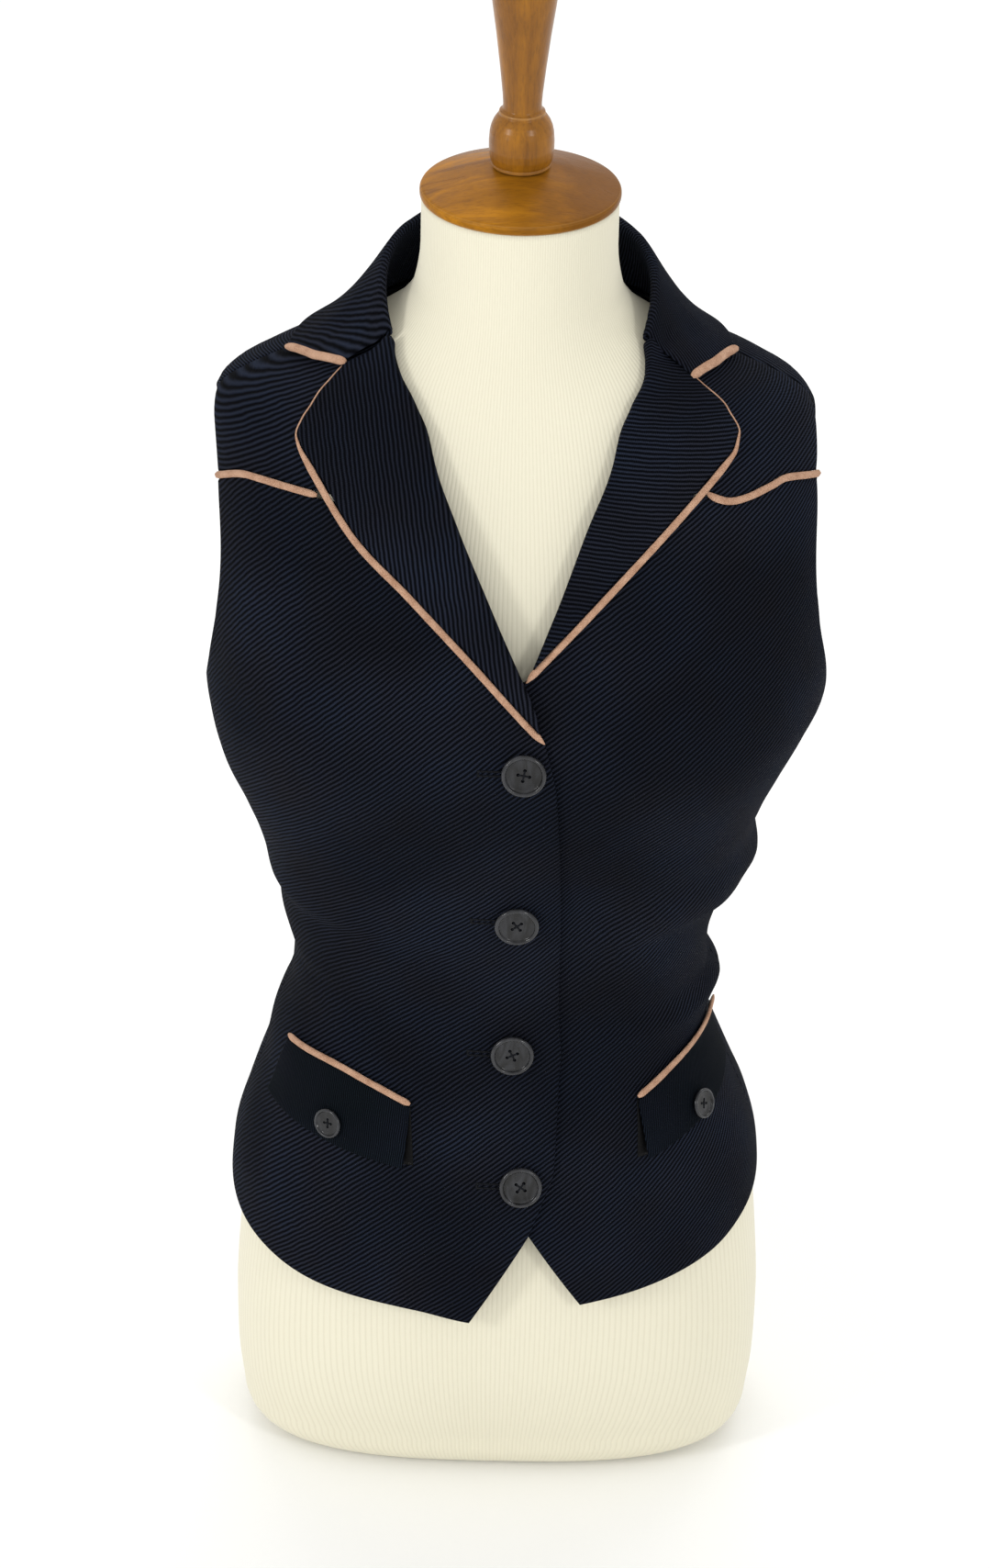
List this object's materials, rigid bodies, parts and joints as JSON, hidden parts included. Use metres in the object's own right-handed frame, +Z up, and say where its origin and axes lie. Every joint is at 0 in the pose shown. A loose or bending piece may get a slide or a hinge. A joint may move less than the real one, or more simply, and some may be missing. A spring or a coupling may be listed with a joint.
{
  "type": "ranch vest on a limbless dress form",
  "caption": "Fitted notch-lapel vest with a western yoke, piped edges and flap pockets, buttoned on a limbless dress form with a turned neck cap.",
  "frame": {"origin": "centre of the box's underside, on the surface the form stands on", "axes": "+X to the wearer's left, -Y to the front of the vest, +Z up"},
  "size_m": [0.3527, 0.2564, 0.9435],
  "materials": {
    "twill": "heavy steep twill, near black navy, matte",
    "piping": "tan suede-like binding, napped",
    "jersey": "cream fine-rib jersey stretched smooth",
    "wood": "turned, stained and satin lacquered",
    "horn": "polished horn effect"
  },
  "bodies": {
    "root": {"form_torso": "jersey", "neck_cap": "wood", "neck_finial": "wood", "back_left": "twill", "back_right": "twill", "collar": "twill", "front_left": "twill", "front_right": "twill", "lapel_left": "twill", "lapel_right": "twill", "pocket_flap_left": "twill", "pocket_flap_right": "twill", "yoke_left": "twill", "yoke_right": "twill", "piping_collar_left": "piping", "piping_collar_right": "piping", "piping_lapel_left": "piping", "piping_lapel_right": "piping", "piping_pocket_left": "piping", "piping_pocket_right": "piping", "piping_yoke_left": "piping", "piping_yoke_right": "piping", "button_1": "horn", "button_2": "horn", "button_3": "horn", "button_4": "horn", "flap_button_left": "horn", "flap_button_right": "horn"}
  },
  "joints": []
}
